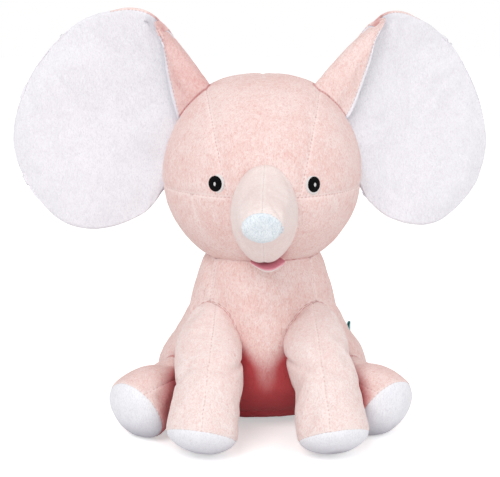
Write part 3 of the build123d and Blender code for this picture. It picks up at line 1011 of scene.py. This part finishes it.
def hind_leg_cover(side):
    s = SIDES[side]
    apart, nearer = {"left": (2.5, 0), "right": (6.0, 5)}[side]
    path = [
        (s * 58, -8, 39, 21), (s * 70, -26, 36.5, 23.5), (s * (82 + 0.4 * apart), -44, 33, 25.5),
        (s * (92 + 0.8 * apart), -59 - 0.8 * nearer, 31.5, 28), (s * (101 + apart), -71 - nearer, 25.5, 29.5),
    ]
    return leg_cover(
        f"hind_leg_{side}", {"path": path, "dome": 42, "side": (0, 0, 1)}, (s * 0.5, 0.35, 0.8), PINK,
        (s * 62, -14, 40), (s * 80, -42, 35), seed=15 + s, shadow=0.6, hidden=lambda p: abs(p[0]) < 70,
    )


def tail_cover():
    path = [(0, 76, 61, 6.5), (0, 82, 58, 7.6), (0, 97, 42, 7.2), (0, 110, 27, 6.4)]
    obj, _ = tube("tail_outer_cover", path, 24, dome=9)
    label_faces(obj, [0] * len(obj.data.polygons))
    return {
        "object": obj, "panels": {0: ("tail_cloth", ["tail_cover"], PINK, "pink_plush")},
        "fill": ("tail_stuffing", ["tail_fill"]), "seed": 31, "hidden": lambda p: p[1] < 80, "slack": 0.01,
        "cap": 0.8, "pressure": 2.0, "move": bending(),
    }


# ---- trunk and lower lip
TRUNK_SECTIONS = [  # y, half width, half height, height of the middle, and downward tilt in degrees
    (-58, 26.2, 41.0, 194.6, 0), (-72, 26.8, 42.0, 194.6, 0), (-86, 26.4, 40.0, 194.9, 0),
    (-98, 25.0, 34.8, 196.3, 0), (-112, 22.2, 27.3, 199.0, 3), (-128, 19.3, 21.6, 200.6, 9),
    (-144, 17.6, 17.6, 201.2, 17), (-154, 16.8, 15.8, 200.6, 23), (-161, 16.2, 14.4, 199.4, 27),
]
TRUNK_END_ROUND = 6.0
PAD_ORIGIN = np.array([-2.5, TRUNK_SECTIONS[-1][0], TRUNK_SECTIONS[-1][3]])
PAD_NORMAL = np.array([-0.12, -0.89, -0.44])
TRUNK_SEAM_X, TRUNK_SEAM_SLOPE = 3.5, 0.036
LIP_MIDDLE = (3.5, -68, 152.0)
LIP_HALF_X, LIP_HALF_Y, LIP_DROOP = 14.5, 18.5, 2.8


def trunk_ring(y, half_x, half_z, centre, tilt, forward=0.0):
    c, s = cos_sin(tilt)
    up, out = np.array([0, -s, c]), np.array([0, -c, -s])
    middle = np.array([1.1 + 0.028 * (y + 58), y, centre]) + out * forward
    turn = circle(56)
    return middle + np.outer(half_x * np.cos(turn), [1, 0, 0]) + np.outer(half_z * np.sin(turn), up)


def past_pad_seam(p):
    return np.dot(np.array(p) - PAD_ORIGIN, PAD_NORMAL)


def trunk_panel(p):
    if past_pad_seam(p) > 0:
        return 0
    return 1 if p[0] - TRUNK_SEAM_X - TRUNK_SEAM_SLOPE * p[1] > 0 else 2


def trunk_cover():
    """The trunk from inside the face to its pale tip pad; its end tilts down."""
    rings = [trunk_ring(*row) for row in even_rows(TRUNK_SECTIONS, 2.6, [0])]
    y, half_x, half_z, centre, tilt = TRUNK_SECTIONS[-1]
    for angle in np.linspace(14, 84, 8):
        c, s = cos_sin(angle)
        rings.append(trunk_ring(y, half_x * c, half_z * c, centre, tilt, TRUNK_END_ROUND * s))
    obj = make_object("trunk_cover", *ring_mesh(rings, close_start=False))
    seam_cuts(obj, [
        (PAD_ORIGIN, PAD_NORMAL, everywhere),
        ((TRUNK_SEAM_X, 0, 0), (1, -TRUNK_SEAM_SLOPE, 0), lambda p: past_pad_seam(p) < 0),
    ])
    label_faces(obj, trunk_panel)
    panels = {0: ("trunk_tip_cloth", ["trunk_tip_pad"], TIP, "white_plush")}
    for i, side in enumerate(SIDES):
        nodes = [f"trunk_{side}_panel", f"trunk_root_{side}_panel"]
        panels[1 + i] = (f"trunk_{side}_cloth", nodes, PALE, "pink_plush")
    return {
        "object": obj, "panels": panels, "fill": ("trunk_stuffing", ["trunk_fill", "trunk_root_fill"]),
        "seed": 21, "hidden": in_head, "slack": 0.012, "cap": 1.5, "pressure": 3.0,
        "move": bending(),
    }


def lip_panel(p):
    """Pink below, and the mouth lining above."""
    x, y, z = LIP_MIDDLE
    edge = z - 1.4 - LIP_DROOP * max(0.0, (y - p[1]) / LIP_HALF_Y) ** 4
    return 0 if p[2] < edge else 1


def lip_cover():
    """The lower lip: a small pillow that narrows and droops ahead."""
    x, y, z = LIP_MIDDLE
    turn = circle(44)
    across, ahead = np.cos(turn), np.maximum(0.0, -np.sin(turn))
    narrow = 1 - 0.28 * ahead**2 * (1 - ahead)
    rings = []
    for angle in np.linspace(-84, 84, 23):
        c, s = cos_sin(angle)
        rise = (5.8 if s < 0 else 3.8) * s
        rings.append(np.stack([
            x + LIP_HALF_X * c * across * narrow, y + LIP_HALF_Y * c * np.sin(turn),
            z + rise - LIP_DROOP * c * ahead**4,
        ], 1))
    obj = make_object("lip_cover", *ring_mesh(rings))
    label_faces(obj, lip_panel)
    panels = cloths(PALE, "pink_plush", "lower_lip")
    panels[1] = ("mouth_lining_cloth", ["mouth_lining"], LINING, "mouth_cloth")
    return {
        "object": obj, "panels": panels, "fill": ("lower_lip_stuffing", ["lower_lip_fill"]), "seed": 41,
        "hidden": lambda p: p[1] > -60, "slack": 0.01, "cap": 0.8, "pressure": 2.0,
        "move": riding("lower_lip"),
    }


# ---- ears
EAR_OUTLINE = [  # x and z in the ear's plane
    (66, 222), (82, 206), (101, 183), (123, 171), (147, 166), (174, 171), (200, 193), (216, 222), (219, 254),
    (208, 289), (186, 320), (159, 342), (130, 353), (106, 354), (90, 347), (80, 333), (68, 313), (56, 296),
    (50, 272), (54, 242),
]
EAR_MIDDLE = np.array([132.0, 258.0])
EAR_CENTRE = np.array([138.0, 258.0])  # the ear is cupped and turned about this point
EAR_FRONT_Y, EAR_HALF_THICK = 7, 3.5
EAR_HINGE = (np.array([84.0, EAR_SEAM_Y, 202.7]), np.array([45.8, EAR_SEAM_Y, 287.6]))
EAR_SWEEP = {"left": 24.0, "right": 8.0}
EAR_POSE = {"left": (10.0, 0.96), "right": (0.0, 1.0)}  # turned in its own plane, top outwards; relative size
CUP_R = 380.0
EAR_CREASE = [(98.0, 343.0), (93.0, 336.0), (88.0, 331.0)]
FOLD_RIDGE = [(25.0, 266.3), (44.0, 291.0), (64.8, 317.8), (81.0, 337.2), (86.0, 343.6), (89.0, 347.5)]
FOLD_EDGE = [(60, 242), (68, 256), (75, 280), (79, 300), (81.5, 320), (84, 332), (87.5, 340), (91.2, 345.5)]
ROLL_Z, ROLL_X, ROLL_RINGS = 325, 132, 4  # where the pink edge rolls to the front, and how far in rings
TIP_REACH = 4.5  # the cloth this near the fold's tip is pink
# Painted shade: the least shade that each ear's fold gets in its colour.
FOLD_LEAST_PAINTED_SHADE = {"left": 0.0, "right": 0.235}  # least shade of the fold
FOLD_LINED = 0.84  # past this share of the fold's length its underside is pink too


def posed(points, side):
    """Ear-plane points turned about the ear's centre and scaled."""
    turn, size = EAR_POSE[side]
    c, s = size * math.cos(math.radians(turn)), size * math.sin(math.radians(turn))
    return (np.asarray(points, float) - EAR_CENTRE) @ np.array([[c, -s], [s, c]]) + EAR_CENTRE


def cup(flat, back):
    """Ear-plane points set on the ear's hollow sphere, a distance back behind its front face."""
    dx, dz = (flat - EAR_CENTRE).T
    depth = np.sqrt(CUP_R**2 - dx**2 - dz**2)
    y = EAR_FRONT_Y - CUP_R + depth * (CUP_R + back) / CUP_R
    x, z = EAR_CENTRE
    return np.stack([x + dx * (CUP_R + back) / CUP_R, y, z + dz * (CUP_R + back) / CUP_R], 1)


def on_ear(flat, back, side):
    """Flat ear points set on the ear's cup, swept back about the hinge, and mirrored for the right ear."""
    low, high = EAR_HINGE
    turn = Matrix.Rotation(math.radians(EAR_SWEEP[side]), 3, Vector(high - low).normalized())
    moved = (cup(posed(flat, side), back) - low) @ np.array(turn).T + low
    return moved * np.array([SIDES[side], 1, 1])


def ear_move():
    return bending()


def ear_panels(outline, shares, rim):
    """Face numbers of the ear: white in front, pink behind and where the edge rolls at the fold's tip."""
    columns = len(outline)
    rolled = (outline[:, 1] > ROLL_Z) & (outline[:, 0] < ROLL_X)
    labels = []
    for i in range((len(shares) - 1) * columns):
        ring, column = divmod(i, columns)
        front = ring < (rim - ROLL_RINGS if rolled[column] else rim)
        flat = EAR_MIDDLE + (outline[column] - EAR_MIDDLE) * shares[ring]
        under_tip = ring < rim and min(np.linalg.norm(flat - FOLD_RIDGE[k]) for k in (-2, -3)) < TIP_REACH
        labels.append(0 if front and not under_tip else 1)
    return labels + [0] * columns + [1] * columns


def ear_cover(side):
    outline = closed_curve(EAR_OUTLINE, 170)

    def ring(share, rise, step=1):
        return on_ear(EAR_MIDDLE + (outline[::step] - EAR_MIDDLE) * share, EAR_HALF_THICK - rise, side)

    rows = [(share, 1.6 + 2.8 * math.sqrt(1 - share**5)) for share in np.linspace(0.03, 0.972, 28)]
    edge, half = rows[-1]
    rows += [(edge + (1 - edge) * math.sin(a), half * math.cos(a)) for a in np.radians([20, 40, 60, 80])]
    rows += [(share, -rise) for share, rise in rows[::-1]]
    obj = make_object(f"ear_{side}_cover", *ring_mesh([ring(*row) for row in rows]))
    label_faces(obj, ear_panels(outline, [share for share, _ in rows], len(rows) // 2 + 1))
    front = [(share, 1.0) for share in np.linspace(0.04, 0.9, 20)]
    sheet = front + [(0.91, 0.0)] + [(share, -rise) for share, rise in front[::-1]]

    def shape(co, distance):
        """Slow waves, a hollow under the folded edge, and on the right ear a short crease near its top."""
        under, _ = nearest(line_samples(on_ear(FOLD_RIDGE, 0, side)), co)
        out = 1.6 * lumps(co, 60, 5) * (1 - bell(distance, 25))
        out -= 2.2 * (1 - bell(distance, 6)) * bell(under, 12)
        if side == "right":
            crease, _ = nearest(line_samples(on_ear(EAR_CREASE, 0, side)), co)
            out -= 1.9 * bell(crease, 1.8)
        return np.maximum(out, -2.9)

    name = f"ear_{side}"
    return {
        "object": obj, "fill": (f"{name}_wadding_sheet", [f"{name}_wadding"]), "seed": 51 + SIDES[side],
        "panels": cloths(WHITE, "white_plush", f"{name}_front") | pink_cloths(f"{name}_back", first=1),
        "fill_mesh": ring_mesh([ring(*row, step=2) for row in sheet]),
        "hidden": in_head, "slack": 0.012, "cap": 2.0, "pressure": 1.5, "move": ear_move(), "shadow": 0.6,
        # The join to its flap paints the flap's shadow on the white front beside the fold.
        "gather": 0.15, "groove": 0.3, "detail": shape, "joined": {f"{name}_flap_cover": 0.11},
    }


def fold_columns():
    """The fold's section: share of its width, share of its rolled edge, distance back, and panel number."""
    columns = [(0.0, 0.0, 2.5, 0), (0.0, 0.0, -0.5, 0)]
    shares = np.linspace(0.06, 1.0, 13)
    for a in shares:
        lift = -4.5 - 7.5 * math.sin(math.pi * min(1.0, a * 1.6) / 2) + 1.5 * a**2
        columns.append((a, 0.0, lift, 0 if a < 1 else 1))
    for b, lift in ((0.35, -11.4), (0.7, -11.2), (0.93, -10.4), (1.0, -8.8), (0.9, -6.8), (0.5, -5.6)):
        columns.append((1.0, b, lift, 1))
    for a in shares[::-1]:
        rise = np.clip((a - 0.45) / 0.5, 0, 1)
        columns.append((a, 0.0, 5.0 - 10.2 * rise**2 * (3 - 2 * rise), 1 if a > 0.3 else 0))
    return columns


def ear_flap(side):
    """The upper inner edge of the ear, folded forward so that its pink back cloth faces the front."""
    ridge = even_rows(FOLD_RIDGE, 2.2)
    n = len(ridge)
    share = np.linspace(0, 1, n)
    edge = even_rows(FOLD_EDGE, 0.8)
    edge = rows_at(share, np.linspace(0, 1, len(edge)), edge)
    width = np.linalg.norm(edge - ridge, axis=1)
    roll = 3.0 * np.minimum(1.0, width / 9.0)
    taper = 0.6 + 0.4 * np.sqrt(np.clip((1 - share) * 6.0, 0.0, 1.0))
    columns = fold_columns()
    loops = []
    for a, b, lift, _ in columns:
        out = (a * (width - roll) + b * roll) / width
        loops.append(on_ear(ridge + (edge - ridge) * out[:, None], -1.0 + (lift + 1.0) * taper, side))
    obj = make_object(f"ear_{side}_flap_cover", *ring_mesh(list(np.stack(loops, 1))))
    labels = [c[3] if i < FOLD_LINED * n else 0 for i in range(n - 1) for c in columns]
    label_faces(obj, labels + [0] * (2 * len(columns)))
    panels = {
        0: (f"ear_{side}_fold_cloth", [f"ear_{side}_back_panel"], PINK, "pink_plush"),
        1: (f"ear_{side}_fold_lining", [f"ear_{side}_front_panel"], WHITE, "white_plush"),
    }
    return {
        "object": obj, "panels": panels, "seed": 61 + SIDES[side], "hidden": in_head, "slack": 0.01,
        "cap": 1.0, "pressure": 1.0, "shadow": 0.5, "least_painted_shade": FOLD_LEAST_PAINTED_SHADE[side], "cloth": 0.8,
        "move": ear_move(), "gather": 0.3, "groove": 0.5, "joined": {"head_cover": 1.0},
    }


# ---- eyes and small trims
def finish_trim(name, mesh, material, nodes, body):
    obj = make_object(name, *mesh)
    obj.data.shade_smooth()
    add_attributes(obj)
    dress(obj, material, nodes)
    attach(obj, body)
    return obj


def dome_oval(name, way, half_w, half_h, thick, tilt, material, nodes):
    """A low oval pad of satin stitch lying on the head."""
    radius = HEAD_R - 0.3
    out = Vector(way).normalized()
    across = Vector((0, 0, 1)).cross(out).normalized()
    up = out.cross(across).normalized()
    turn = Matrix.Rotation(math.radians(tilt), 3, out)
    across, up = turn @ across, turn @ up
    rings, around = [], circle(48)
    for share in (0.04, 0.2, 0.36, 0.52, 0.66, 0.78, 0.88, 0.95, 1.0, 1.03):
        u, v = half_w * share * np.cos(around), half_h * share * np.sin(around)
        sag = radius - np.sqrt(radius**2 - u**2 - v**2)
        height = thick * math.sqrt(max(0.0, 1 - share**4)) - (1.2 if share > 1 else 0)
        rings.append(np.outer(u, across) + np.outer(v, up) + np.outer(radius - sag + height, out) + HEAD)
    finish_trim(name, ring_mesh(rings), material, nodes, "head")


def make_eyes():
    for side, s, x, z, wide in (("left", 1, 40.3, 1.4, 6.0), ("right", -1, -38.5, 2.1, 6.5)):
        way, tilt, name = (x, -74.6, z), 5 * s, f"eye_{side}"
        dome_oval(f"{name}_edge", way, wide + 1.6, 8.5, 0.9, tilt, HALO, [])
        dome_oval(f"{name}_satin", way, wide, 6.8, 1.8, tilt, BLACK, [name])
        dome_oval(
            f"{name}_glint_satin", (x + 0.3, -74.6, z - 0.1), 1.3, 2.0, 2.4, 0.0, GLINT,
            [f"{name}_glint"],
        )


def make_tuft(locks=26):
    """A loose tassel of thick curved locks at the end of the tail."""
    base = np.array([0, 110.0, 27.0])
    out = np.array([0, 0.66, -0.75])
    turn = circle(8)
    parts = []
    rng = np.random.default_rng(7)
    for k in range(locks):
        c, s = math.cos(k * GOLDEN_TURN), math.sin(k * GOLDEN_TURN)
        wide = 0.55 * math.sqrt((k + 0.5) / locks)
        sideways = np.array([c, 0.75 * s, 0.66 * s])
        rings = []
        length = 19 + 3 * rng.random()
        for t in np.linspace(0, 1, 9):
            bow = wide * 13 * math.sin(math.pi * 0.75 * t) + 1.5 * wide
            centre = base + out * (length * t - 3) + sideways * bow
            centre[2] -= 3.0 * t**2
            r = 2.3 * math.sin(math.pi * min(0.98, 0.25 + 0.72 * t)) + 0.2
            ring = np.outer(np.cos(turn), [1, 0, 0]) + np.outer(np.sin(turn), [0, 0.75, 0.66])
            rings.append(centre + r * ring)
        parts.append(ring_mesh(rings))
    finish_trim("tail_tuft_locks", joined_meshes(parts), PINK, ["tail_tuft"], "tail")


def thread_stitches(count=9, pitch=4.0):
    """Slanted hand stitches over the centre back seam."""
    parts = []
    for i in range(count):
        rise = pitch * i
        y = 64.0 - 0.42 * rise + 0.0023 * rise**2 + 1.2
        rings = []
        for t in np.linspace(-1, 1, 13):
            centre = np.array([2.3 * t, y - 1.6 * t**2, 84 + rise + 1.0 * t])
            turn = circle(8) + 2.0 * t
            r = 0.5 * (1 + 0.18 * np.cos(2 * turn))
            ring = np.outer(r * np.cos(turn), [0, 1, 0]) + np.outer(r * np.sin(turn), [0, 0, 1])
            rings.append(centre + ring)
        parts.append(ring_mesh(rings))
    mesh = joined_meshes(parts)
    finish_trim("closing_stitch_threads", mesh, THREAD, ["closing_stitches"], "torso")


def ribbon_label():
    """A blank ribbon folded in half, its cut ends caught in the side seam."""
    seam_y, seam_z, sunk, length, fold_r = 12.3, 68.0, 2.4, 17, 1.2
    c, s = cos_sin(82)
    out, side = np.array([c, s, 0]), np.array([-s, c, 0])
    outside = Vector((120, seam_y - 2, seam_z)) * MM
    place = tree_of(bpy.data.objects["flank_left_cloth"]).ray_cast(outside, Vector((-1, 0, 0)))[0]
    at = np.array([place.x / MM - sunk, seam_y, seam_z])
    path = [(length * t, 1.0 + 0.5 * math.sin(3 * t)) for t in np.linspace(0, 1, 10)]
    for angle in np.linspace(80, -80, 9):
        c, s = cos_sin(angle)
        path.append((length + fold_r * c, fold_r * s))
    path += [(length * t, -1.0 - 0.4 * math.sin(3 * t)) for t in np.linspace(1, 0, 10)]
    rows = np.linspace(-6, 6, 9)
    points = [at + out * u + side * v + np.array([0, 0, z - 0.06 * u]) for u, v in path for z in rows]
    m = len(rows)
    corners = [i * m + j for i in range(len(path) - 1) for j in range(m - 1)]
    faces = [(k, k + 1, k + m + 1, k + m) for k in corners]
    obj = finish_trim("care_label_ribbon", (points, faces), TAPE, ["care_label"], "torso")
    obj.modifiers.new("tape_thickness", "SOLIDIFY").thickness = 0.35 * MM


# ---- inner pieces that stay as the frame has them
def paint(node, material):
    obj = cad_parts[node]
    obj.data.materials.clear()
    obj.data.materials.append(material)


covers = [head_cover(), torso_cover(), trunk_cover(), tail_cover(), lip_cover()]
for side in SIDES:
    covers += [front_leg_cover(side), hind_leg_cover(side), ear_cover(side), ear_flap(side)]
for cover in covers:
    mesh = cover["object"].data
    write_attribute(mesh, "base_co", coordinates(mesh) * MM, "FLOAT_VECTOR")
simulate(covers)
mark_joins(covers)
mark_hollows(covers)
for cover in covers:
    finish_cover(cover)
make_eyes()
make_tuft()
thread_stitches()
ribbon_label()
paint("neck_fill", FIBRE)
paint("neck_seam_band", POUCH)
paint("seat_bean_pouch", POUCH)
paint("bean_pellets", PELLET)


# ---- stage
CAMERA_AT, CAMERA_AIM, LENS = (-0.011, -0.978, 0.365), (-0.011, 0, 0.157), 81.8
FLOOR_HALF = 6000


def put_aimed(name, data, place, aim):
    obj = link(name, data)
    obj.location = place
    obj.rotation_euler = (Vector(aim) - Vector(place)).to_track_quat("-Z", "Y").to_euler()
    return obj


def area_light(name, place, aim, size, watts):
    light = bpy.data.lights.new(name, "AREA")
    light.shape = "DISK"
    light.size = size
    light.energy = watts
    put_aimed(name, light, place, aim)


def floor_paper():
    """Pale paper that glows a little to the camera, so that it reads as white."""
    n = Nodes("floor_paper")
    grain = n.noise(n.own_place(), 40)
    glow = n.times(n.add("ShaderNodeLightPath").outputs["Is Camera Ray"], 0.48)
    n.fill(n.bsdf, {
        "Base Color": n.mix(grain, (0.88, 0.88, 0.88), (0.92, 0.92, 0.92)), "Roughness": 0.9,
        "Emission Color": (1, 1, 1), "Emission Strength": glow,
    })
    return n.material


def studio_world():
    """White all round, and a little dimmer as a light than as the camera sees it."""
    world = bpy.data.worlds.new("studio")
    world.use_nodes = True
    tree = world.node_tree
    background = tree.nodes["Background"]
    background.inputs[0].default_value = (1, 1, 1, 1)
    strength = tree.nodes.new("ShaderNodeMapRange")
    strength.inputs["To Min"].default_value = 0.72
    strength.inputs["To Max"].default_value = 1.0
    tree.links.new(tree.nodes.new("ShaderNodeLightPath").outputs["Is Camera Ray"], strength.inputs["Value"])
    tree.links.new(strength.outputs[0], background.inputs[1])
    return world


def stage():
    corners = [(x * FLOOR_HALF, y * FLOOR_HALF, 0) for x, y in ((-1, -1), (1, -1), (1, 1), (-1, 1))]
    floor = make_object("floor", corners, [(0, 1, 2, 3)])
    floor.data.materials.append(floor_paper())
    scene = bpy.context.scene
    scene.world = studio_world()
    scene.view_settings.view_transform = "Standard"
    area_light("key", (-0.5, -1.2, 1.3), (0, 0, 0.2), 0.9, 11)
    area_light("fill", (1.1, -0.9, 0.8), (0, 0, 0.2), 1.0, 4)
    camera = bpy.data.cameras.new("camera")
    camera.lens = LENS
    scene.camera = put_aimed("camera", camera, CAMERA_AT, CAMERA_AIM)


stage()
